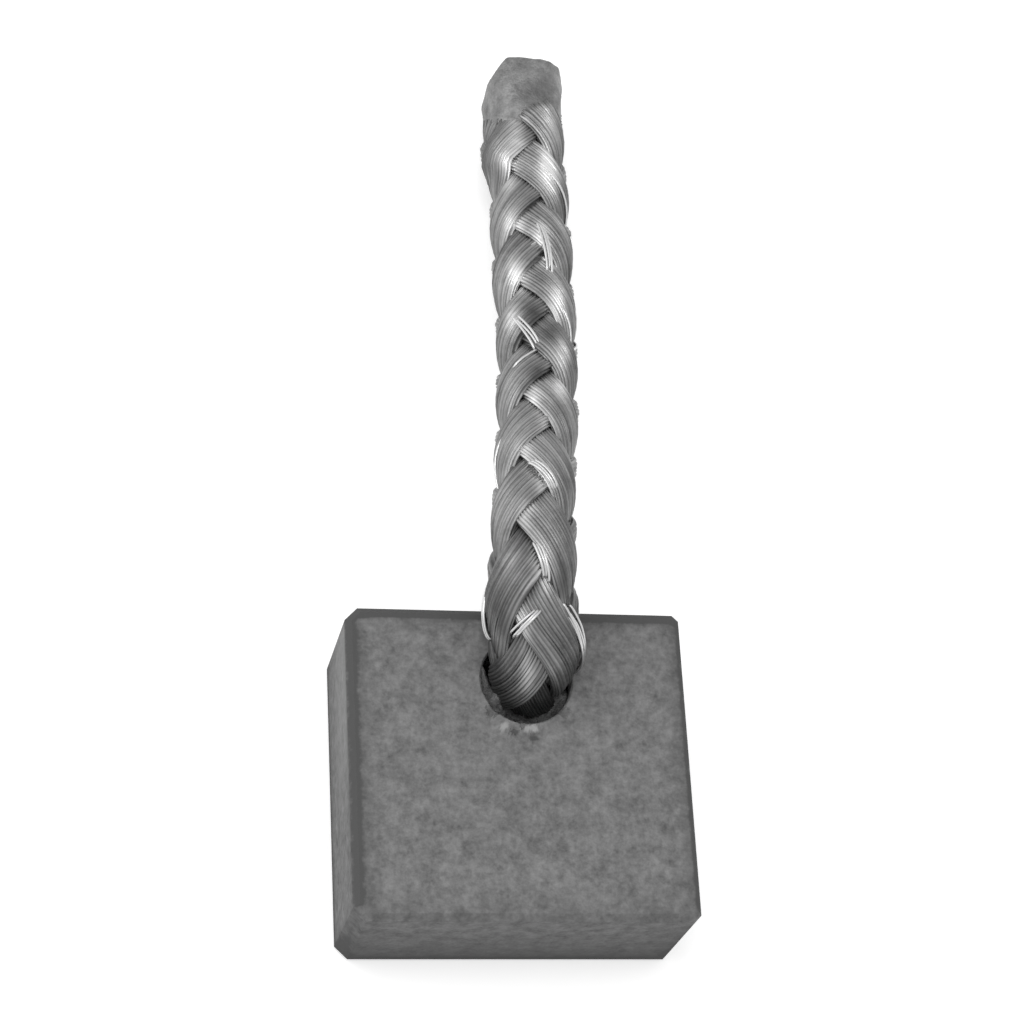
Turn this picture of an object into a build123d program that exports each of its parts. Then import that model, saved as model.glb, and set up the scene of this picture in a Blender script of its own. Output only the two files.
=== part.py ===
"""A carbon brush for a starter motor: a pressed block with a tamped-in braided lead. Millimetres.

The block lies on its plain back face. The origin is the middle of that face, +Z points out of
the wired face, +Y towards the edge that the lead crosses, and the contact face looks along -Y.
"""

import os
from math import cos, radians, sin, tan

from build123d import *

# Pressed block
block_width = 16.0  # along X
block_height = 15.0  # along Y, from the contact face to the spring face
block_thickness = 7.0  # along Z
rim_chamfer = 0.35  # round both wide faces
left_corner_chamfer = 0.6  # on the two edges along Z at the left
right_corner_chamfer = 0.3

# Blind bore for the lead, drilled into the wired face
bore_from_top = 3.5  # from the spring face to the bore's axis
bore_sideways = 0.4  # to the right of the block's middle
bore_web = 1.1  # left under the drill point
drill_point_angle = 118.0
mouth_chamfer = 0.1

# Tamped copper powder that locks the lead in the bore
powder_wall = 0.2  # between the lead and the bore
powder_recess = 1.2  # from the wired face down to the powder

# Braided lead and its fused end
lead_diameter = 3.9
tip_diameter = 4.3
tip_length = 3.2
tip_edge_round = 0.35
tip_cut_angle = 33.0  # between the lead's axis and the snipped corner
tip_cut_length = 1.6  # along the lead, from the end to where the snip starts

# What follows from the sizes above
lead_radius = lead_diameter / 2
bore_radius = lead_radius + powder_wall
bore_y = block_height / 2 - bore_from_top
point_height = bore_radius / tan(radians(drill_point_angle / 2))
bore_floor = bore_web + point_height
arc_share = 0.48  # of the shorter run beside a point, taken by the arc there

# The lead's route. Its root stands in the bore: its points are (to the right of the bore's axis,
# towards the spring face from that axis, height over the mouth), and the foot is on the floor.
root_foot = (-0.03, -0.07)
root_middle = (0.00, -0.07, -2.60)
root_mouth = (0.02, -0.05, 0.08)
# Past the mouth the lead folds over the block's edge and comes down to the table
free_points = [
    (0.31, 4.98, 8.83),
    (0.30, 6.82, 9.85),
    (0.47, 9.25, 9.82),
    (0.88, 12.55, 8.90),
    (1.50, 16.65, 7.45),
    (2.09, 21.00, 5.95),
    (2.44, 25.65, 4.62),
    (2.67, 30.10, 3.55),
    (2.80, 33.50, 2.96),
    (2.86, 36.85, 2.60),
]


def drilled_hole(top):
    """The hole that the drill leaves, as a solid: a cone, then a cylinder up to top."""
    outline = Polyline(
        (0, bore_web),
        (bore_radius, bore_floor),
        (bore_radius, top),
        (0, top),
        close=True,
    )
    turned = revolve(Plane.XZ * make_face(outline), Axis.Z)
    return Pos(bore_sideways, bore_y, 0) * turned


def carbon_block():
    """The pressed block with chamfered edges and its blind bore."""
    block = Box(
        block_width,
        block_height,
        block_thickness,
        align=(Align.CENTER, Align.CENTER, Align.MIN),
    )
    corners = block.edges().filter_by(Axis.Z).sort_by(Axis.X)
    block = chamfer(corners[:2], left_corner_chamfer)
    corners = block.edges().filter_by(Axis.Z).sort_by(Axis.X)
    block = chamfer(corners[-2:], right_corner_chamfer)
    wide_faces = block.faces().sort_by(Axis.Z)
    rims = [*wide_faces[0].edges(), *wide_faces[-1].edges()]
    block = chamfer(rims, rim_chamfer)
    block -= drilled_hole(block_thickness)
    wired_face = block.faces().sort_by(Axis.Z)[-1]
    return chamfer(wired_face.inner_wires()[0].edges(), mouth_chamfer)


def lead_points():
    """The route of the lead's middle line, from the floor of the bore to the fused end."""
    foot = (bore_sideways + root_foot[0], bore_y + root_foot[1], bore_floor)
    near_mouth = [
        (bore_sideways + right, bore_y + along, block_thickness + up)
        for right, along, up in (root_middle, root_mouth)
    ]
    return [Vector(*point) for point in (foot, *near_mouth, *free_points)]


def arc_radii(points):
    """One radius for each inner point: the largest that both of its runs leave room for."""
    radii = []
    for before, here, after in zip(points, points[1:], points[2:]):
        run_in = here - before
        run_out = after - here
        half_turn = radians(run_in.get_angle(run_out) / 2)
        shorter = min(run_in.length, run_out.length)
        radii.append(arc_share * shorter / tan(half_turn))
    return radii


def lead_path():
    """Straight runs joined by tangent arcs."""
    points = lead_points()
    radii = arc_radii(points)
    print("lead arc radii, mm:", [round(radius, 1) for radius in radii])
    return FilletPolyline(*points, radius=radii)


def shunt_braid(path):
    """The braided lead as a plain round tube along its route."""
    section = Plane(origin=path @ 0, z_dir=path % 0) * Circle(lead_radius)
    tube = sweep(section, path=path)
    share = tube.volume / (section.area * path.length)
    print("lead length, mm:", round(path.length, 2))
    print("tube volume over section times length:", round(share, 5))
    return tube


def tamping_plug(braid):
    """Copper powder pressed into the drill point and round the root of the lead."""
    return drilled_hole(block_thickness - powder_recess) - braid


def solder_tip(path):
    """The fused end of the lead: a short round slug with one corner snipped off."""
    slug = Cylinder(
        tip_diameter / 2,
        tip_length,
        align=(Align.CENTER, Align.CENTER, Align.MIN),
    )
    slug = fillet(slug.edges().sort_by(Axis.Z)[-1], tip_edge_round)
    # The snip: a plane through the slug's left flank, leaning in towards the end
    snip = Plane(
        origin=(-tip_diameter / 2, 0, tip_length - tip_cut_length),
        x_dir=(0, 1, 0),
        z_dir=(-cos(radians(tip_cut_angle)), 0, sin(radians(tip_cut_angle))),
    )
    slug = split(slug, bisect_by=snip, keep=Keep.BOTTOM)
    seat = Plane(origin=path @ 1, x_dir=(1, 0, 0), z_dir=path % 1)
    return seat * slug


def main():
    os.makedirs("parts", exist_ok=True)
    path = lead_path()
    braid = shunt_braid(path)
    pieces = {
        "carbon_block": carbon_block(),
        "tamping_plug": tamping_plug(braid),
        "shunt_braid": braid,
        "solder_tip": solder_tip(path),
    }
    for name, piece in pieces.items():
        export_step(piece, f"parts/{name}.step")


main()
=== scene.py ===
"""The looks of a carbon brush for a starter motor: its pressed block, and its braided lead.

The block lies on its back face with the wired face up. The lead is a round braid of eight strands
of tinned wire. It stands in a blind bore, folds over the block's edge and comes down to the table.
Shapes are worked out in millimetres, and the value mm brings them to metres.
"""

from math import cos, pi, radians, sin, sqrt, tau

import bpy
import numpy as np
from mathutils import Matrix, Vector


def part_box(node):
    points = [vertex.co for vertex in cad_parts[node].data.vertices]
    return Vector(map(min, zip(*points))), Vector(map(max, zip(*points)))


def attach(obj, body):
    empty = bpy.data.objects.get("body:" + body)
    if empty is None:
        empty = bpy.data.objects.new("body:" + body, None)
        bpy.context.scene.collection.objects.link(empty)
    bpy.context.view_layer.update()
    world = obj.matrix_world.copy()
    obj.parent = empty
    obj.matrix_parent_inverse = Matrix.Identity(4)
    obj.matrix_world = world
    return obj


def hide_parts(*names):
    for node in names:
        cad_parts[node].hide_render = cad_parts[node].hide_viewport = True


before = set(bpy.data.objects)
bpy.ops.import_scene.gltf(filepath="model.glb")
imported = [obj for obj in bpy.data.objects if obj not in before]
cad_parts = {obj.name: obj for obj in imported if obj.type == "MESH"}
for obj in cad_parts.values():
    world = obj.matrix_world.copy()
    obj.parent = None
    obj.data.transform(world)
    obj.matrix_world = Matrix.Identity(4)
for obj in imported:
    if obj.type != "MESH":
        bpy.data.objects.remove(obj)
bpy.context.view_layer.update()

mm = 0.001


def frame_box(node):
    """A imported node's lowest and highest corner, in millimetres."""
    return [np.array(corner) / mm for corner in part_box(node)]


# Block and bore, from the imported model
block_low, block_high = frame_box("carbon_block")
block_width, block_height, block_thickness = block_high - block_low
plug_low, plug_high = frame_box("tamping_plug")
bore_middle = (plug_low[:2] + plug_high[:2]) / 2
bore_radius = (plug_high[0] - plug_low[0]) / 2
drill_point = plug_low[2]
powder_top = plug_high[2]
bore_floor = 2.39  # where the drill's point ends and the bore's wall starts
left_corner_cut = 0.6
right_corner_cut = 0.3
rim_cut = 0.29
mouth_cut = 0.1

# The lead's route. Its root stands in the bore, and the rest folds over the block's edge
lead_route = [
    (0.52, 4.15, 2.39),
    (0.64, 4.27, 4.40),
    (0.70, 4.34, 6.90),
    (0.56, 5.05, 8.50),
    (0.25, 6.70, 9.55),
    (0.46, 9.20, 9.66),
    (0.88, 12.55, 8.90),
    (1.50, 16.65, 7.45),
    (2.09, 21.00, 5.95),
    (2.44, 25.65, 4.62),
    (2.67, 30.10, 3.55),
    (2.80, 33.50, 2.96),
    (2.86, 36.85, 2.60),
]
lead_diameter = 3.9

# Braid: half of the strands turn one way and half the other, each over two and under two
strand_count = 8
strands_each_way = strand_count // 2
lay = 15.94  # along the lead, for one turn of a strand
strand_middle_radius = 1.18
stitch_height = 0.41  # how far a strand swings out and in from that radius
strand_width = 2.14
strand_thickness = 0.8
ridge_angle = radians(57)  # where the strands that turn leftwards lie outermost
first_stitch = 2.51  # shifts the stitches along the lead
braid_back = 2.0  # from the lead's middle to the back of its outer strands

# Wires in a strand
wire_count = 30  # seen round one strand
wire_radius = 0.075
wire_steps = 5  # points across one wire's back
wire_relief = 1.15  # how high a wire's back stands, in wire radii

# Wires that have worked loose
loose_wire_count = 24
loose_wire_radius = wire_radius * 0.9
loose_end_depth = 0.28  # how deep their ends go in under the strands
stray_steps = 48  # points along a stray wire
stray_spacing = 3.9  # degrees round the lead, from one stray wire to the next

# Painted glints on the braid, where the wires are made brighter: travel along the lead, degrees
# round it, and how bright they are
glints = [
    (38.4, 66, 0.4),
    (38.3, 116, 0.5),
    (37.0, 113, 0.7),
    (36.7, 69, 0.7),
    (36.0, 127, 0.8),
    (35.6, 66, 0.6),
    (34.9, 73, 1.0),
    (34.3, 62, 0.5),
    (33.9, 132, 0.6),
    (31.7, 124, 0.8),
    (30.5, 87, 0.8),
    (28.2, 78, 0.6),
    (28.2, 125, 1.0),
    (26.8, 124, 1.0),
    (26.2, 69, 0.8),
    (25.0, 73, 0.6),
    (24.8, 134, 0.7),
    (22.3, 62, 0.6),
    (19.6, 61, 0.7),
    (19.2, 106, 0.8),
    (17.9, 84, 0.5),
    (15.7, 117, 0.6),
    (14.5, 104, 0.6),
    (13.9, 87, 0.7),
    (12.1, 110, 0.6),
    (9.9, 90, 0.5),
    (9.0, 80, 0.9),
    (7.7, 118, 0.8),
    (7.0, 155, 0.5),
    (6.1, 109, 0.5),
]
glint_length = 0.62  # reach of each glint along the lead
glint_breadth = 11.5  # and round it, in degrees

# Dark places, painted shade where the wires part: travel, degrees, depth up to 1, and reach
dark_spots = [
    (38.4, 150, 0.6, 0.6),
    (37.6, 174, 0.7, 1.0),
    (36.4, 168, 0.6, 0.8),
    (33.1, 96, 0.6, 0.5),
    (32.9, 49, 0.5, 0.6),
    (27.5, 91, 0.7, 0.5),
    (25.2, 103, 1.0, 0.6),
    (23.5, 82, 0.9, 0.6),
    (21.0, 93, 1.0, 0.65),
    (18.4, 70, 0.6, 0.5),
    (14.0, 49, 0.5, 0.7),
    (11.4, 49, 0.5, 0.7),
    (10.2, 112, 0.6, 0.5),
    (9.2, 56, 0.5, 0.6),
    (8.3, 112, 0.5, 0.6),
    (8.0, 140, 0.5, 0.9),
]

# Wires out of line, side by side: travel and degrees at both ends, how many, and their lift
strays = [
    (31.4, 89, 28.0, 76, 3, 0.12),
    (25.0, 136, 22.5, 100, 3, 0.08),
    (14.7, 105, 13.2, 68, 3, 0.08),
    (10.3, 96, 9.0, 80, 3, 0.08),
    (7.85, 92, 7.15, 125, 3, 0.05),
    (8.1, 46, 4.6, -2, 5, 0.08),
    (9.0, 186, 6.9, 176, 4, 0.02),
]

# Fused end
tip_length = 3.1
tip_radius = 2.03
tip_round = 0.20
tip_squareness = 3.2  # power of the end's section, where 2 is a circle
tip_run_back = 2.2  # how far the solder has run back between the strands
tip_levels = 40  # rings along its side
tip_round_levels = 9  # rings over its rounded edge
relief_angle = radians(102)  # where the strands' relief is highest, round the lead
snip_length = 1.32
snip_angle = radians(38)


# Arrays of points

def unit(vectors):
    """Each vector divided by its own length."""
    return vectors / np.linalg.norm(vectors, axis=-1, keepdims=True)


def dot(one, other):
    """The products of matching vectors, kept as a last axis of one."""
    return (one * other).sum(axis=-1, keepdims=True)


def bell(values, middle, reach):
    """1 at the middle, falling to 0 on both sides as a normal curve does."""
    return np.exp(-(((values - middle) / reach) ** 2))


def ease(values, start, end):
    """0 before start, 1 after end, and a smooth step between."""
    share = np.clip((values - start) / (end - start), 0, 1)
    return share * share * (3 - 2 * share)


def even_turns():
    """Angles once round the powder or the fused end, in even steps from 0."""
    return np.linspace(0, tau, 160, endpoint=False)


# Large odd numbers that mix a cell's place and a seed into a draw
cell_factors = np.array([73856093, 19349663, 83492791])
seed_factor = 7919
mixing = ((15, 2246822519), (13, 3266489917))  # each a shift and a factor


def cell_noise(points, cell, seed):
    """Drawn values at the corners of cubic cells, blended smoothly between them. From -1 to 1."""
    scaled = np.asarray(points, float) / cell
    low = np.floor(scaled).astype(np.int64)
    share = scaled - low
    share = share * share * (3 - 2 * share)
    total = np.zeros(scaled.shape[:-1])
    for step in np.ndindex(2, 2, 2):
        bits = (low + step) @ cell_factors + seed * seed_factor
        for shift, factor in mixing:
            bits = (bits ^ (bits >> shift)) * factor
        drawn = ((bits ^ (bits >> 16)) & 0xFFFFFF) / 0x7FFFFF - 1
        total += drawn * np.where(step, share, 1 - share).prod(axis=-1)
    return total


def flat_noise(first, second, seed):
    """The same noise over two numbers, in cells of one."""
    first, second = np.broadcast_arrays(first, second)
    places = np.stack([first, second, np.full(first.shape, 0.5)], axis=-1)
    return cell_noise(places, 1.0, seed)


# Meshes

def enclosed(points, faces):
    """Six times the volume between the faces and the origin, negative where they face inwards."""
    one, two, three = points[faces[:, 0]], points[faces[:, 1]], points[faces[:, 2]]
    volume = (one * np.cross(two, three)).sum()
    if faces.shape[1] == 4:
        four = points[faces[:, 3]]
        volume += (one * np.cross(three, four)).sum()
    return volume


def ring_surface(rings, first_pole=None, last_pole=None):
    """Points and faces of a closed surface: quads between rings, and a fan to a pole at each end.

    A pole that isn't given is the middle of its ring.
    """
    if first_pole is None:
        first_pole = rings[0].mean(axis=0)
    if last_pole is None:
        last_pole = rings[-1].mean(axis=0)
    count, around = rings.shape[:2]
    index = np.arange(count * around).reshape(count, around)
    beside = np.roll(index, -1, axis=1)
    quads = np.stack([index[:-1], beside[:-1], beside[1:], index[1:]], axis=-1).reshape(-1, 4)
    first = np.full(around, count * around)
    fans = np.concatenate([
        np.stack([first, beside[0], index[0]], axis=-1),
        np.stack([first + 1, index[-1], beside[-1]], axis=-1),
    ])
    points = np.concatenate([rings.reshape(-1, 3), [first_pole, last_pole]])
    if enclosed(points, quads) + enclosed(points, fans) < 0:
        quads, fans = quads[:, ::-1], fans[:, ::-1]
    return points, quads, fans


def joined(surfaces):
    """Several closed surfaces as one set of points and faces."""
    starts = np.cumsum([0] + [len(points) for points, _, _ in surfaces[:-1]])
    return (
        np.concatenate([points for points, _, _ in surfaces]),
        np.concatenate([quads + start for (_, quads, _), start in zip(surfaces, starts)]),
        np.concatenate([fans + start for (_, _, fans), start in zip(surfaces, starts)]),
    )


def new_piece(name, surface, material, slot, replaced=(), **point_values):
    """A mesh object in metres that moves with the brush.

    Each of point_values becomes an attribute, with a value at each of its points.
    """
    points, quads, fans = surface
    mesh = bpy.data.meshes.new(name)
    mesh.from_pydata((points * mm).tolist(), [], quads.tolist() + fans.tolist())
    mesh.shade_smooth()
    for value_name, values in point_values.items():
        attribute = mesh.attributes.new(value_name, "FLOAT", "POINT")
        attribute.data.foreach_set("value", np.asarray(values, np.float32))
    mesh.materials.append(material)
    piece = bpy.data.objects.new(name, mesh)
    bpy.context.scene.collection.objects.link(piece)
    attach(piece, "root")
    if replaced:
        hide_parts(*replaced)
    return piece


# Shader nodes

def set_inputs(tree, node, inputs):
    """Gives each named input of a node its value, or links it to the socket given for it."""
    for name, value in inputs.items():
        if isinstance(value, bpy.types.NodeSocket):
            tree.links.new(value, node.inputs[name])
        else:
            node.inputs[name].default_value = value


def add_node(tree, kind, inputs=None, **settings):
    """A new node with its settings made and its inputs set or linked."""
    made = tree.nodes.new(kind)
    for name, value in settings.items():
        setattr(made, name, value)
    set_inputs(tree, made, inputs or {})
    return made


def place_group(tree, group, inputs):
    """A group in a material's tree, with its inputs set or linked. Returns its outputs."""
    return add_node(tree, "ShaderNodeGroup", inputs, node_tree=group).outputs


def point_value(tree, name):
    """The socket that reads a value stored at the mesh's points."""
    return add_node(tree, "ShaderNodeAttribute", attribute_name=name).outputs["Fac"]


def grey(level):
    """A grey of this brightness, opaque."""
    return (level, level, level, 1.0)


def mix_colours(tree, share, first, second):
    """The socket of a colour that goes from the first to the second as the share grows."""
    inputs = {"Fac": share, "Color1": first, "Color2": second}
    return add_node(tree, "ShaderNodeMixRGB", inputs).outputs["Color"]


def new_group(name, inputs, outputs):
    """A node group. Returns it with the sockets that its inputs come from, and its output node."""
    group = bpy.data.node_groups.new(name, "ShaderNodeTree")
    for socket_name, kind, value in inputs:
        socket = group.interface.new_socket(socket_name, in_out="INPUT", socket_type=kind)
        socket.default_value = value
    for socket_name, kind in outputs:
        group.interface.new_socket(socket_name, in_out="OUTPUT", socket_type=kind)
    given = group.nodes.new("NodeGroupInput").outputs
    return group, given, group.nodes.new("NodeGroupOutput")


def grain_group():
    """Grain in two sizes: a mask of coarse and fine noise together, and the normal they give."""
    group, given, result = new_group(
        "grain",
        [
            ("Coarse", "NodeSocketFloat", 2500.0),
            ("Fine", "NodeSocketFloat", 9000.0),
            ("Fine share", "NodeSocketFloat", 0.5),
            ("Depth", "NodeSocketFloat", 0.00003),
        ],
        [("Mask", "NodeSocketFloat"), ("Normal", "NodeSocketVector")],
    )
    place = add_node(group, "ShaderNodeTexCoord").outputs["Object"]
    sizes = []
    for size_name in ("Coarse", "Fine"):
        noise = add_node(
            group,
            "ShaderNodeTexNoise",
            {"Vector": place, "Scale": given[size_name], "Detail": 3.0, "Roughness": 0.6},
        )
        sizes.append(noise.outputs["Fac"])
    both = add_node(
        group, "ShaderNodeMix", {"Factor": given["Fine share"], "A": sizes[0], "B": sizes[1]}
    )
    spread = add_node(
        group,
        "ShaderNodeMapRange",
        {"Value": both.outputs["Result"], "From Min": 0.3, "From Max": 0.7},
    )
    mask = spread.outputs["Result"]
    bump = add_node(group, "ShaderNodeBump", {"Height": mask, "Distance": given["Depth"]})
    set_inputs(group, result, {"Mask": mask, "Normal": bump.outputs["Normal"]})
    return group


def two_tone_group():
    """A colour between a dark and a light one by a mask, and darker where a second mask is low."""
    group, given, result = new_group(
        "two_tone",
        [
            ("Dark", "NodeSocketColor", grey(0.1)),
            ("Light", "NodeSocketColor", grey(0.2)),
            ("Mask", "NodeSocketFloat", 0.5),
            ("Deep", "NodeSocketColor", grey(0.05)),
            ("Clear", "NodeSocketFloat", 1.0),
        ],
        [("Colour", "NodeSocketColor")],
    )
    tone = mix_colours(group, given["Mask"], given["Dark"], given["Light"])
    shaded = mix_colours(group, given["Clear"], given["Deep"], tone)
    set_inputs(group, result, {"Colour": shaded})
    return group


grain = grain_group()
two_tone = two_tone_group()


# Materials

def new_material(name):
    """An empty material. Returns it with its tree and its Principled shader."""
    material = bpy.data.materials.new(name)
    material.use_nodes = True
    tree = material.node_tree
    return material, tree, tree.nodes["Principled BSDF"]


def add_grain(tree, coarse, fine, fine_share, depth):
    """The grain group in a material. Its depth is in metres."""
    inputs = {"Coarse": coarse, "Fine": fine, "Fine share": fine_share, "Depth": depth}
    return place_group(tree, grain, inputs)


def add_colour(tree, dark, light, mask, deep, clear):
    """The two-tone group in a material, as a colour socket. Dark, light and deep are greys."""
    inputs = {
        "Dark": grey(dark),
        "Light": grey(light),
        "Mask": mask,
        "Deep": grey(deep),
        "Clear": clear,
    }
    return place_group(tree, two_tone, inputs)["Colour"]


def times_plus(tree, value, factor, added):
    """A value by a factor, with another value added."""
    inputs = {0: value, 1: factor, 2: added}
    return add_node(tree, "ShaderNodeMath", inputs, operation="MULTIPLY_ADD").outputs["Value"]


def pressed_carbon():
    """Pressed copper and graphite: mottled, matt, painted shade at its edges, painted highlights.
    """
    material, tree, shader = new_material("pressed_carbon")
    grains = add_grain(tree, coarse=1500.0, fine=4800.0, fine_share=0.4, depth=0.00002)
    # The unshaded share is painted shade: low at the edges, the rims, the foot and the darker chips
    clean = times_plus(tree, grains["Mask"], 0.12, point_value(tree, "clean"))
    ramp = add_node(tree, "ShaderNodeValToRGB", {"Fac": clean})
    stops = ramp.color_ramp.elements
    stops[0].position = 0.17
    stops[0].color = grey(0.0)
    stops[1].position = 0.85
    stops[1].color = grey(1.0)
    for position, level in ((0.25, 0.5), (0.45, 0.82)):
        stops.new(position).color = grey(level)
    colour = add_colour(
        tree, dark=0.10, light=0.26, mask=grains["Mask"], deep=0.09, clear=ramp.outputs["Color"]
    )
    # Painted highlights on the lighter chips and the left side, then painted shade towards the
    # table
    scraped = mix_colours(tree, point_value(tree, "scraped"), colour, grey(0.34))
    stained = mix_colours(tree, point_value(tree, "stained"), scraped, grey(0.07))
    set_inputs(tree, shader, {
        "Base Color": stained,
        "Normal": grains["Normal"],
        "Roughness": 0.85,
        "Specular IOR Level": 0.15,
    })
    return material


def tamped_powder():
    """Loose dark grains of copper powder, with painted shade that deepens lower in the bore."""
    material, tree, shader = new_material("tamped_powder")
    grains = add_grain(tree, coarse=5000.0, fine=12000.0, fine_share=0.5, depth=0.00005)
    high = point_value(tree, "height")
    # Painted shade: the powder darkens the lower it lies in the bore
    colour = add_colour(tree, dark=0.06, light=0.30, mask=grains["Mask"], deep=0.02, clear=high)
    set_inputs(tree, shader, {
        "Base Color": colour,
        "Normal": grains["Normal"],
        "Roughness": 0.8,
    })
    return material


def tinned_wire():
    """Tinned copper wire: bright at painted glints, else dull, painted shade between strands."""
    material, tree, shader = new_material("tinned_wire")
    grains = add_grain(tree, coarse=1600.0, fine=7000.0, fine_share=0.4, depth=0.000002)
    # The shine carries painted light and glints, and stands_out carries painted shade deep in the
    # braid
    tone = times_plus(tree, grains["Mask"], 0.14, point_value(tree, "shine"))
    clear = point_value(tree, "stands_out")
    colour = add_colour(tree, dark=0.085, light=0.95, mask=tone, deep=0.09, clear=clear)
    rough = add_node(
        tree, "ShaderNodeMapRange", {"Value": tone, "To Min": 0.5, "To Max": 0.28}
    )
    set_inputs(tree, shader, {
        "Base Color": colour,
        "Roughness": rough.outputs["Result"],
        "Normal": grains["Normal"],
        "Metallic": 1.0,
    })
    return material


def fused_metal():
    """Solder over the fused wires: a dull, lumpy skin."""
    material, tree, shader = new_material("fused_metal")
    grains = add_grain(tree, coarse=2200.0, fine=9000.0, fine_share=0.4, depth=0.00004)
    clear = point_value(tree, "stands_out")
    colour = add_colour(tree, dark=0.16, light=0.36, mask=grains["Mask"], deep=0.08, clear=clear)
    set_inputs(tree, shader, {
        "Base Color": colour,
        "Normal": grains["Normal"],
        "Metallic": 0.85,
        "Roughness": 0.5,
    })
    return material


# Block

side_points = (140, 9, 150, 9, 140, 9, 150, 9)  # along each side and corner of its outline
least_corner_cut = 0.02
point_ring = 0.15  # radius of the ring close round the drill's point
wall_levels = 16  # rings up the bore's wall
face_levels = 34  # rings from the mouth to the rim
face_crowding = 1.6  # power that draws them together at the mouth
rim_insets = (0.60, 0.52, 0.45)  # rings on the face beside the rim
rim_shares = (0.0, 0.12, 0.5, 0.88, 1.0)  # rings down the rim's chamfer
side_heights = (6.6, 6.5, 6.3, 6.0, 5.5, 4.5, 3.5, 2.5, 1.5, 1.0, 0.7, 0.5, 0.4)
sharp_angle = radians(28)  # edges that turn by more than this stay sharp
chips = [  # angle round the bore, reach from the mouth, radius, depth, painted light (+) or shade (-)
    (-117, 0.36, 0.21, 0.04, 1.0),
    (-84, 0.14, 0.21, 0.03, 1.0),
    (-92, 0.17, 0.17, 0.03, 0.9),
    (-105, 0.40, 0.25, 0.10, -1.0),
    (-85, 0.60, 0.24, 0.09, -1.0),
    (-98, 0.05, 0.16, 0.10, -0.6),
    (-137, 0.06, 0.32, 0.12, -0.9),
    (-42, 0.03, 0.26, 0.10, -0.7),
]


def at_height(places, height):
    """Flat places as points, all at one height."""
    return np.column_stack([places, np.full(len(places), height)])


def bore_ring(outwards, radius, height):
    """A ring about the bore's axis. Its points lie in the directions outwards from that axis."""
    return at_height(bore_middle + outwards * np.reshape(radius, (-1, 1)), height)


def block_outline(inset):
    """The block's section, a rectangle with its corners cut, moved inwards by inset."""
    across = block_width / 2 - inset
    forwards = block_height / 2 - inset
    # A slanted corner that moves inwards with its sides gets shorter, and never quite goes
    shortening = inset * (2 - sqrt(2))
    left_cut = max(left_corner_cut - shortening, least_corner_cut)
    right_cut = max(right_corner_cut - shortening, least_corner_cut)
    corners = np.array([
        (across, -forwards + right_cut),
        (across, forwards - right_cut),
        (across - right_cut, forwards),
        (-across + left_cut, forwards),
        (-across, forwards - left_cut),
        (-across, -forwards + left_cut),
        (-across + left_cut, -forwards),
        (across - right_cut, -forwards),
    ])
    ends = np.roll(corners, -1, axis=0)
    return np.concatenate([
        np.linspace(start, end, count, endpoint=False)
        for start, end, count in zip(corners, ends, side_points)
    ])


def worn_section(inset, height, wear=0.0):
    """The outline at a height. Wear moves it in where the edge is rubbed, and never outwards."""
    places = block_outline(inset)
    steps = np.arange(len(places))
    wobble = 0.05 * flat_noise(steps / 6.0, 0.0, seed=11)
    wobble += 0.02 * flat_noise(steps / 2.0, 0.0, seed=12)
    places -= unit(places) * (np.abs(wobble) * wear)[:, None]
    return at_height(places, height)


def bore_rings(outwards):
    """Rings up the bore: round the drill's point, up the rough wall and over the mouth's edge."""
    rings = [
        bore_ring(outwards, point_ring, drill_point + 0.09),
        bore_ring(outwards, bore_radius, bore_floor),
    ]
    rough = flat_noise(np.arange(len(outwards)) / 5.0, 0.0, seed=13)
    for height in np.linspace(bore_floor + 0.3, block_thickness - mouth_cut, wall_levels):
        radius = bore_radius + 0.03 * flat_noise(rough * 4, height * 3, seed=14)
        rings.append(bore_ring(outwards, radius, height))
    mouth_edge = bore_radius + mouth_cut * (0.75 + 0.25 * rough)
    for share in (0.35, 0.7, 1.0):
        radius = bore_radius + (mouth_edge - bore_radius) * share
        height = block_thickness - mouth_cut * (1 - share) ** 1.3
        rings.append(bore_ring(outwards, radius, height))
    return rings


def block_rings():
    """Rings about the bore: up its wall, out across the face, down the sides and under the block.

    Across the face a ring is a mix of the mouth's circle and the outline, in a growing share.
    """
    rings = bore_rings(unit(block_outline(0.0) - bore_middle))
    mouth = rings[-1]
    inner = worn_section(rim_insets[0], block_thickness)
    for share in np.linspace(0, 1, face_levels)[1:-1] ** face_crowding:
        rings.append(mouth * (1 - share) + inner * share)
    for inset in rim_insets:
        rings.append(worn_section(inset, block_thickness, wear=(rim_insets[0] - inset) / 0.25))
    for share in rim_shares:
        height = block_thickness - rim_cut * share
        rings.append(worn_section(rim_cut * (1 - share), height, wear=1.0 - 0.9 * share))
    for height in side_heights:
        rings.append(worn_section(0.0, height))
    for share in reversed(rim_shares):
        height = rim_cut * share
        rings.append(worn_section(rim_cut * (1 - share), height, wear=0.4 * (1 - share)))
    under = worn_section(rim_cut + 0.2, 0.0)
    rings.append(under)
    for share in (0.6, 0.2, 0.03):
        rings.append(under * (share, share, 1.0))
    return np.stack(rings)


def chip_marks(points):
    """What the chips at the mouth do at each point: how deep they go, and the painted highlights
    and painted shade on them.

    Each chip is a bowl with a sharp, ragged rim, and its mark fades over that rim. A painted
    highlight, of a lit facet, is above 0 and painted shade below.
    """
    depth = np.zeros(points.shape[:-1])
    mark = np.zeros(points.shape[:-1])
    ragged = 1 + 0.5 * cell_noise(points, 0.11, seed=21) + 0.3 * cell_noise(points, 0.05, seed=22)
    for angle, reach, radius, deepest, look in chips:
        turn = radians(angle)
        from_bore = bore_radius + mouth_cut + reach
        middle = bore_middle + from_bore * np.array([cos(turn), sin(turn)])
        distance = np.linalg.norm(points[..., :2] - middle, axis=-1) / (radius * ragged)
        depth = np.maximum(depth, deepest * np.sqrt(np.clip(1 - distance**2, 0, 1)))
        mark += look * (1 - ease(distance, 0.6, 1.3))
    return depth, mark


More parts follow.
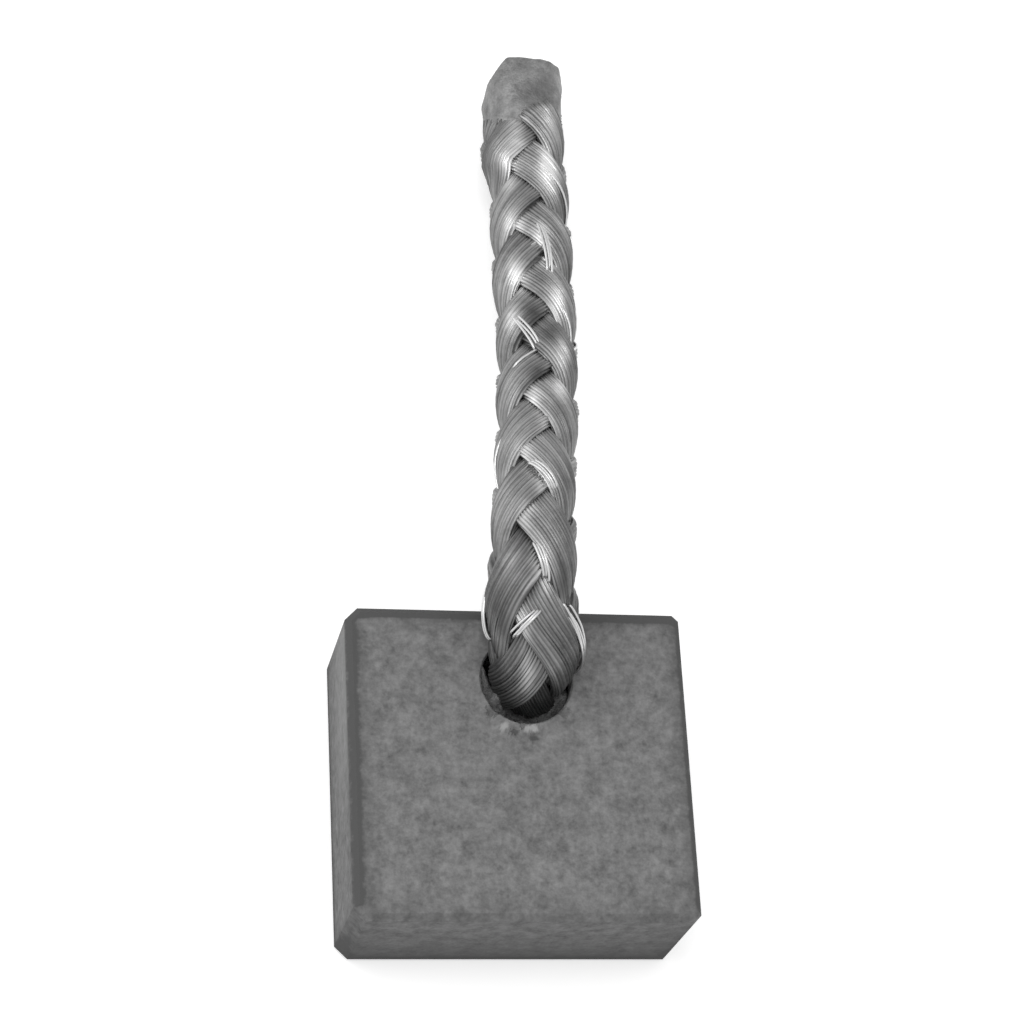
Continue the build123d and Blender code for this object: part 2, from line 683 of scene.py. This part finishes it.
def block_tones(points, mark):
    """The block's painted shade, its painted highlights, and its painted shade towards the table.

    It gets painted shade beside its edges, towards its foot, along the far and left rims of the
    wired face, and in the darker chips, and less along the near rim. The distance from a point of
    the skin to its nearest edge is the second least of its three depths. The lighter chips get a
    painted highlight, and so does the left side towards its far upper corner. The contact face
    gets painted shade evenly more towards the table.
    """
    from_middle = np.abs(points - (block_low + block_high) / 2)
    depths = (block_high - block_low) / 2 - from_middle
    from_edge = np.sort(depths, axis=-1)[:, 1]
    sideways, ahead, high = points.T
    # Painted shade towards the foot, and along the far and left rims of the wired face, lifted
    # along the near rim
    foot = 0.25 * (1 - ease(high, 0.2, 3.6))
    far_rim = 0.26 * ease(ahead, 6.7, 7.2) * ease(high, 6.0, 6.7)
    near_rim = 0.18 * ease(-ahead, 6.8, 7.2) * ease(high, 6.0, 6.6)
    left_rim = 0.12 * ease(-sideways, 6.3, 7.4) * ease(high, 6.9, 7.0)
    rims = near_rim - far_rim - left_rim
    # Painted shade in the darker chips and beside every edge
    chip_shade = 0.75 * np.clip(-mark, 0, 1)
    clean = np.minimum(from_edge * 0.5, 0.85) - foot + rims - chip_shade
    # Painted light on the left side towards its far upper corner, with the painted highlights of
    # the lighter chips
    left_side = ease(-sideways, 7.8, 8.0) * ease(ahead, -4.0, 3.0) * ease(high, 1.5, 5.0)
    left_side *= 1 - ease(high, 6.3, 6.7)
    highlight_share = np.clip(mark, 0, 1) + 0.38 * left_side
    # Painted shade on the contact face, deeper towards the table
    stained = 0.75 * ease(-ahead, 7.2, 7.5) * np.clip((6.0 - high) / 6.0, 0, 1)
    return clean, highlight_share, stained


def make_block():
    """The pressed block, with its chips sunk into the face round the bore's mouth."""
    rings = block_rings()
    near_top = ease(rings[..., 2], block_thickness - 0.6, block_thickness - 0.1)
    depth, mark = chip_marks(rings)
    rings[..., 2] -= depth * near_top
    mark = np.append((mark * near_top).ravel(), (0.0, 0.0))
    surface = ring_surface(rings, (*bore_middle, drill_point), (0.0, 0.0, 0.0))
    clean, scraped, stained = block_tones(surface[0], mark)
    block = new_piece(
        "pressed_block",
        surface,
        pressed_carbon(),
        "carbon",
        ["carbon_block"],
        clean=clean,
        scraped=scraped,
        stained=stained,
    )
    block.data.set_sharp_from_angle(angle=sharp_angle)


# Powder

powder_levels = 56  # rings from the middle of the powder's top to the bore's wall
powder_heaps = [  # place from the bore's middle, height, and reach. A hollow's height is below 0
    (-1.40, -0.75, 1.00, 0.55),
    (-1.95, 0.05, 0.75, 0.42),
    (-2.00, 0.60, 1.05, 0.34),
    (1.80, -0.55, 0.85, 0.50),
    (-1.35, 0.95, -0.60, 0.40),
]


def make_powder():
    """Grains in the bore: a disc of rings, each point as high as noise and heaps make it.

    More rings close it down the bore's wall to the drill's point.
    """
    turns = even_turns()
    spokes = np.stack([np.cos(turns), np.sin(turns)], axis=-1)
    inside = bore_radius - 0.01
    rings = []
    for radius in np.linspace(0.05, inside, powder_levels):
        ring = bore_ring(spokes, radius, 0.0)
        lumps = 0.16 * cell_noise(ring, 0.42, seed=31) + 0.10 * cell_noise(ring, 0.17, seed=32)
        heap = np.zeros(len(turns))
        for to_right, forwards, high, reach in powder_heaps:
            from_heap = ring[:, :2] - bore_middle - (to_right, forwards)
            heap += high * bell(np.linalg.norm(from_heap, axis=1), 0, reach)
        ring[:, 2] = powder_top - 0.12 + lumps + heap
        rings.append(ring)
    rings += [
        bore_ring(spokes, inside, powder_top - 1.2),
        bore_ring(spokes, inside, bore_floor),
        bore_ring(spokes, point_ring, drill_point + 0.1),
    ]
    surface = ring_surface(np.stack(rings), last_pole=(*bore_middle, drill_point + 0.01))
    # How high the powder lies, which sets its painted shade
    height = ease(surface[0][:, 2], powder_top - 0.5, powder_top + 0.5)
    new_piece(
        "powder_fill", surface, tamped_powder(), "tamped_powder", ["tamping_plug"], height=height
    )


# Lead

def lead_line():
    """The lead's middle line, in millimetres: the points of a NURBS spline on the route."""
    curve = bpy.data.curves.new("lead_route", "CURVE")
    curve.dimensions = "3D"
    spline = curve.splines.new("NURBS")
    spline.points.add(len(lead_route) - 1)
    for point, place in zip(spline.points, lead_route):
        point.co = (*(value * mm for value in place), 1.0)
    spline.order_u = 3
    spline.use_endpoint_u = True
    curve.resolution_u = 13
    route = bpy.data.objects.new("lead_route", curve)
    mesh = bpy.data.meshes.new_from_object(route)
    places = np.empty(len(mesh.vertices) * 3, np.float32)
    mesh.vertices.foreach_get("co", places)
    bpy.data.objects.remove(route)
    bpy.data.meshes.remove(mesh)
    return places.reshape(-1, 3).astype(float) / mm


# The lead's middle line, and at each of its points the directions along it, to its right and over
# it, and the travel from its start
line = lead_line()
along = unit(np.gradient(line, axis=0))
x_direction = np.array([1.0, 0.0, 0.0])
right = unit(x_direction - dot(along, x_direction) * along)
over = np.cross(right, along)
travel = np.concatenate([[0], np.cumsum(np.linalg.norm(np.diff(line, axis=0), axis=1))])
print("lead line, mm:", round(travel[-1], 2), "points:", len(line))

# The lead is pinched in its bore, widens where it folds over the edge, and flares before its
# fused end
girth = (
    1.01
    - 0.10 * (1 - ease(travel, 3.6, 5.4))
    + 0.03 * bell(travel, 8.5, 3.0)
    + 0.04 * ease(travel, 21.0, 30.0)
    + 0.02 * flat_noise(travel / 3.0, 0.0, seed=41)
)
widening = 1.0 + 0.13 * bell(travel, 6.6, 2.2)
thinning = 1.0 - 0.15 * bell(travel, 5.2, 2.6)
flare = 0.42 * ease(travel, 35.4, 36.4) * (1 - ease(travel, 38.2, 39.5))


def section_table():
    """Round a strand's flat ellipse: the share of its edge that is passed, and the angle there."""
    angles = np.linspace(0, tau, 721)
    edge = np.stack([np.cos(angles) * strand_width, np.sin(angles) * strand_thickness], axis=-1) / 2
    reach = np.concatenate([[0], np.cumsum(np.linalg.norm(np.diff(edge, axis=0), axis=1))])
    return reach / reach[-1], angles


edge_share, edge_angle = section_table()


def strand_noise(strand, cell, seed):
    """Noise along the lead, in cells of this many millimetres, and different in each strand."""
    return flat_noise(travel / cell, strand * 3.0, seed)


def strand_frame(strand):
    """A strand's middle line along the lead, with the directions of its width and of its back.

    Its angle round the lead grows or falls evenly with the travel. Its distance from the lead's
    middle is a cosine of twice that angle, and the strands that turn the other way have the
    opposite sign. The last value is that cosine, from 1 where it lies outermost to -1.
    """
    sense = 1 if strand < strands_each_way else -1
    ahead = sense * (travel + first_stitch) * tau / lay
    start = ridge_angle - pi / strand_count + strand % strands_each_way * tau / strands_each_way
    angle = start + ahead + radians(4) * strand_noise(strand, 4.5, seed=42)
    outness = sense * np.cos(2 * (start + ahead - ridge_angle))
    wave = 0.05 * strand_noise(strand, 2.4, seed=43)
    distance = (strand_middle_radius + stitch_height * outness + wave) * girth
    spoke = np.cos(angle)[:, None] * right + np.sin(angle)[:, None] * over
    across = distance * np.cos(angle) * widening - flare * np.clip(-np.cos(angle), 0, 1)
    upward = distance * np.sin(angle) * thinning
    middle = line + across[:, None] * right + upward[:, None] * over
    heading = unit(np.gradient(middle, axis=0))
    width = unit(np.cross(heading, spoke))
    back = np.cross(width, heading)
    return middle, width, back, outness


def strand_points(strand, lobe, lift):
    """Points on a strand: at lobe, counted in wires round its edge, and lift millimetres above it.

    A point of the ellipse is half the breadth by the cosine of its angle and half the thickness by
    its sine. Lift is added square to the ellipse. A strand is narrower where it dives under.
    """
    middle, width, back, outness = strand_frame(strand)
    angle = np.interp(lobe / wire_count % 1.0, edge_share, edge_angle)
    broad = strand_width / 2 * girth * (1 + 0.08 * strand_noise(strand, 3.5, seed=44))
    broad = broad * (0.86 + 0.14 * ease(outness, -1.0, 0.4))
    thick = strand_thickness / 2 * girth * (1 + 0.10 * strand_noise(strand, 3.0, seed=45))
    side, height = np.cos(angle), np.sin(angle)
    out_side, out_height = side * strand_thickness, height * strand_width
    size = np.hypot(out_side, out_height)
    across = broad[:, None] * side + lift * out_side / size
    upward = thick[:, None] * height + lift * out_height / size
    return (
        middle[:, None]
        + across[..., None] * width[:, None]
        + upward[..., None] * back[:, None]
    )


def wire_tones(place, wire_noise):
    """How bright the wires are at points on the braid, and how free of painted shade.

    They are brighter on top than at the sides, a painted light, and differ from wire to wire and
    from patch to patch. A glint adds a bell of brightness, a painted highlight longer along the
    lead, and a dark spot a round bell of painted shade.
    """
    spoke = place - line[:, None]
    across = (spoke * right[:, None]).sum(axis=-1)
    upward = (spoke * over[:, None]).sum(axis=-1)
    angle = np.degrees(np.arctan2(upward, across)) % 360
    far = travel[:, None]
    # Painted light: the wires are brighter on top, where the light falls, than at the sides
    top = 0.12 * bell(angle, 100, 62)
    patches = 0.12 * flat_noise(far / 1.3, angle / 26.0, seed=49)
    near_root = 0.10 * (1 - ease(far, 6.5, 16.0))
    bright = 0.085 + top + 0.13 * wire_noise + patches - near_root
    # Painted highlights: each glint brightens the wires' colour
    for middle, turn, strength in glints:
        apart = np.hypot((far - middle) / glint_length, (angle - turn) / glint_breadth)
        bright = bright + 0.85 * strength * bell(apart, 0, 1)
    clear = np.ones_like(bright)
    # Painted shade at each dark spot
    for middle, turn, depth, reach in dark_spots:
        round_lead = np.radians(angle - turn) * lead_diameter / 2
        clear = clear * (1 - depth * bell(np.hypot(far - middle, round_lead), 0, reach))
    return np.clip(bright, 0, 1), clear


def make_strand(strand, material):
    """A strand's skin: half circles, the backs of its wires, side by side round a flat ellipse.

    By noise along the lead each wire stands a little prouder or lower, and sways to a side. The
    wires get painted shade where they lie deep in the braid, and in the grooves between them.
    """
    far = travel[:, None]
    steps = np.arange(wire_count * wire_steps)
    wire = steps // wire_steps
    across_wire = steps % wire_steps / wire_steps
    arch = np.sqrt(np.clip(1 - (2 * across_wire - 1) ** 2, 0, 1))
    proud = 0.8 * flat_noise(far / 2.2, wire * 1.7 + strand * 50.0, seed=46)
    sway = 0.7 * flat_noise(far / 3.0, wire * 0.4 + strand * 50.0, seed=47)
    lift = wire_radius * (arch * wire_relief + proud)
    rings = strand_points(strand, steps / wire_steps + sway, lift)
    surface = ring_surface(rings)
    wire_noise = flat_noise(far / 5.0, wire * 1.0 + strand * 40.0, seed=48)
    bright, clear = wire_tones(rings, wire_noise)
    # Painted shade: darker where the wires lie deep in the braid and in the grooves between them,
    # less where they are bright
    out = np.linalg.norm(rings - line[:, None], axis=-1) / girth[:, None]
    between_wires = 0.32 + 0.55 * bright
    stands_out = ease(out, 1.15, 1.8) * (between_wires + (1 - between_wires) * arch) * clear
    return new_piece(
        f"braid_strand_{strand + 1}",
        surface,
        material,
        "tinned_braid",
        shine=np.append(bright.ravel(), (0.3, 0.3)),
        stands_out=np.append(stands_out.ravel(), (0.0, 0.0)),
    )


def wire_tube(path):
    """A round wire along a path: a six-sided ring at each point, square to the path."""
    heading = unit(np.gradient(path, axis=0))
    beside = unit(np.cross(heading, (0.3, 0.2, 1.0)))
    upward = np.cross(beside, heading)
    turns = np.arange(6) * tau / 6
    spoke = np.cos(turns)[:, None] * beside[:, None] + np.sin(turns)[:, None] * upward[:, None]
    return ring_surface(path[:, None] + loose_wire_radius * spoke, path[0], path[-1])


def lifted_wire(draw):
    """A wire that stands a little out of its own strand, and goes back in at both ends.

    It slants over the strand's back, and its height is half a sine wave, sunk where that is low.
    """
    strand = int(draw.integers(strand_count))
    start, length = draw.uniform(9.0, 34.0), draw.uniform(2.5, 6.5)
    picked = (travel > start) & (travel < start + length)
    share = np.clip((travel - start) / length, 0, 1)
    lobe = wire_count / 4 + draw.uniform(-6, 6) + draw.uniform(-5, 5) * share
    arch = np.sin(share * pi)
    lift = wire_radius * 1.1 + draw.uniform(0.0, 0.06) * arch - loose_end_depth * (1 - arch) ** 3
    path = strand_points(strand, lobe[:, None], lift[:, None])[:, 0]
    return wire_tube(path[picked])


def at_travel(far, values):
    """Values that are known along the lead, at other distances along it."""
    columns = values.reshape(len(travel), -1).T
    return np.stack([np.interp(far, travel, column) for column in columns], axis=-1)


def stray_wire(start, start_angle, end, end_angle, lift):
    """A wire over the braid's back from one place to another, low at both ends, lifted between.

    Its travel and angle change evenly, and its height is the root of half a sine wave.
    """
    share = np.linspace(0, 1, stray_steps)
    far = start + (end - start) * share
    angle = np.radians(start_angle + (end_angle - start_angle) * share)
    arch = np.sin(share * pi) ** 0.5
    reach = braid_back * at_travel(far, girth)[:, 0]
    reach = reach + (lift + loose_end_depth) * arch - loose_end_depth
    across = reach * np.cos(angle) * at_travel(far, widening)[:, 0]
    upward = reach * np.sin(angle) * at_travel(far, thinning)[:, 0]
    return wire_tube(
        at_travel(far, line)
        + across[:, None] * at_travel(far, right)
        + upward[:, None] * at_travel(far, over)
    )


def make_loose_wires(material):
    """Wires that have worked loose: some in a strand of their own, and the strays across it."""
    draw = np.random.default_rng(5)
    tubes = [lifted_wire(draw) for _ in range(loose_wire_count)]
    for start, start_angle, end, end_angle, count, lift in strays:
        for wire in range(count):
            beside = stray_spacing * (wire - (count - 1) / 2)
            slip = draw.uniform(-0.12, 0.12, 2) * (start - end)
            high = lift * draw.uniform(0.7, 1.0)
            tubes.append(stray_wire(
                start + slip[0], start_angle + beside, end + slip[1], end_angle + beside, high
            ))
    surface = joined(tubes)
    count = len(surface[0])
    return new_piece(
        "loose_wires",
        surface,
        material,
        "tinned_braid",
        shine=np.full(count, 0.65),
        stands_out=np.full(count, 1.0),
    )


def tip_rings():
    """Rings of the fused end along the lead's last direction, before its corner is snipped.

    A ring is a circle that turns into a square with round corners, as its power grows. On it lie
    the strands' relief, a product of two waves round the end that fades, and lumps of noise. The
    edge of the end is a quarter circle.
    """
    round_start = tip_length - tip_round
    heights = np.concatenate([
        np.linspace(-tip_run_back, round_start, tip_levels),
        round_start + tip_round * np.sin(np.linspace(0.12, 0.98, tip_round_levels) * pi / 2),
    ])
    up_the_round = np.clip((heights - round_start) / tip_round, 0, 1)
    rounding = 1 - np.sqrt(np.clip(1 - up_the_round**2, 0, 1))
    body = tip_radius * (0.6 + 0.4 * ease(heights, -tip_run_back, -0.2)) - tip_round * rounding
    turns = even_turns()
    power = 2 + (tip_squareness - 2) * ease(heights, 0.2, 2.2)[:, None]
    square = (np.abs(np.cos(turns)) ** power + np.abs(np.sin(turns)) ** power) ** (-1 / power)
    twist = turns - relief_angle
    relief = 0.10 * (1 - ease(heights, -0.2, 1.4))[:, None]
    far = heights[:, None]
    wave = np.cos(4 * twist + far * 1.2) * np.cos(2 * twist - far * 1.5)
    spoke = np.cos(turns)[:, None] * right[-1] + np.sin(turns)[:, None] * over[-1]
    place = line[-1] + far[..., None] * along[-1] + (body[:, None] * square)[..., None] * spoke
    lumps = 0.07 * cell_noise(place, 0.75, seed=51) + 0.04 * cell_noise(place, 0.28, seed=52)
    return place + (lumps + relief * wave)[..., None] * spoke


def filled_end(rings):
    """The rings, and more that shrink inside the last one and bulge a little."""
    last = rings[-1]
    centre = last.mean(axis=0)
    added = []
    for share in (0.85, 0.6, 0.35, 0.1):
        inner = centre + (last - centre) * share
        bulge = 0.05 * cell_noise(inner, 0.5, seed=53) + 0.05 * (1 - share)
        added.append(inner + bulge[:, None] * along[-1])
    return np.concatenate([rings, added])


def snipped(points):
    """Points past the snip's plane slide back onto it, square to the plane, a little unevenly."""
    snip_start = line[-1] - tip_radius * right[-1] + (tip_length - snip_length) * along[-1]
    snip_out = -cos(snip_angle) * right[-1] + sin(snip_angle) * along[-1]
    past = (points - snip_start) @ snip_out - 0.05 * cell_noise(points, 0.5, seed=54)
    return points - np.clip(past, 0, None)[..., None] * snip_out


def make_tip(material):
    """The fused end, filled in at its end, with one corner snipped off."""
    surface = ring_surface(snipped(filled_end(tip_rings())))
    bright = np.clip(0.8 + 0.5 * cell_noise(surface[0], 0.9, seed=55), 0, 1)
    return new_piece("fused_tip", surface, material, "solder", ["solder_tip"], stands_out=bright)


def make_lead():
    """The whole lead: its strands, its loose wires and its fused end."""
    wire = tinned_wire()
    strands = [make_strand(strand, wire) for strand in range(strand_count)]
    loose = make_loose_wires(wire)
    tip = make_tip(fused_metal())
    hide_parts("shunt_braid")


# Room

def make_floor():
    """A pale table. The camera and mirrors see it white, and it throws less light on the brush."""
    reach = 0.6
    corners = [(-reach, -reach, 0), (reach, -reach, 0), (reach, reach, 0), (-reach, reach, 0)]
    mesh = bpy.data.meshes.new("table")
    mesh.from_pydata(corners, [], [(0, 1, 2, 3)])
    table = bpy.data.objects.new("table", mesh)
    bpy.context.scene.collection.objects.link(table)
    material, tree, shader = new_material("pale_table")
    path = add_node(tree, "ShaderNodeLightPath")
    seen = path.outputs["Is Camera Ray"]
    for kind in ("Is Glossy Ray", "Is Transmission Ray"):
        both = {0: seen, 1: path.outputs[kind]}
        seen = add_node(tree, "ShaderNodeMath", both, operation="MAXIMUM").outputs["Value"]
    for input_name, hidden, shown in (("Base Color", 0.75, 0.80), ("Emission Color", 0.0, 0.45)):
        colour = mix_colours(tree, seen, grey(hidden), grey(shown))
        set_inputs(tree, shader, {input_name: colour})
    set_inputs(tree, shader, {
        "Emission Strength": 1.0,
        "Roughness": 1.0,
        "Specular IOR Level": 0.0,
    })
    mesh.materials.append(material)


def make_world():
    """Even grey light from all round, which the camera sees as white."""
    world = bpy.data.worlds.new("studio")
    bpy.context.scene.world = world
    world.use_nodes = True
    tree = world.node_tree
    seen = add_node(tree, "ShaderNodeLightPath").outputs["Is Camera Ray"]
    colour = mix_colours(tree, seen, grey(0.81), grey(1.0))
    set_inputs(tree, tree.nodes["Background"], {"Color": colour, "Strength": 1.0})


def add_lamp(name, place, size, power):
    """A square lamp that looks at the middle of the brush."""
    brush_middle = Vector((0.001, 0.012, 0.004))
    lamp = bpy.data.lights.new(name, "AREA")
    lamp.shape = "SQUARE"
    lamp.size = size
    lamp.energy = power
    holder = bpy.data.objects.new(name, lamp)
    holder.location = place
    holder.rotation_mode = "QUATERNION"
    holder.rotation_quaternion = (brush_middle - Vector(place)).to_track_quat("-Z", "Y")
    bpy.context.scene.collection.objects.link(holder)


def make_camera():
    """A long lens that looks down on the brush from its left, rolled as the photograph is."""
    place = Vector((-25.748, -42.165, 128.042)) * mm
    target = Vector((0.913, 14.114, 3.500)) * mm
    roll = radians(24.743)
    data = bpy.data.cameras.new("camera")
    data.sensor_width = 36.0
    data.lens = 99.688
    data.clip_start = 0.01
    data.clip_end = 10.0
    camera = bpy.data.objects.new("camera", data)
    turn = (target - place).to_track_quat("-Z", "Y").to_matrix() @ Matrix.Rotation(roll, 3, "Z")
    camera.matrix_world = Matrix.Translation(place) @ turn.to_4x4()
    bpy.context.scene.collection.objects.link(camera)
    bpy.context.scene.camera = camera


make_camera()
make_block()
make_powder()
make_lead()
make_floor()
make_world()
add_lamp("left_lamp", place=(-0.32, 0.12, 0.22), size=0.36, power=0.36)
add_lamp("top_lamp", place=(-0.07, 0.02, 0.39), size=0.09, power=0.22)
bpy.context.scene.view_settings.view_transform = "Standard"
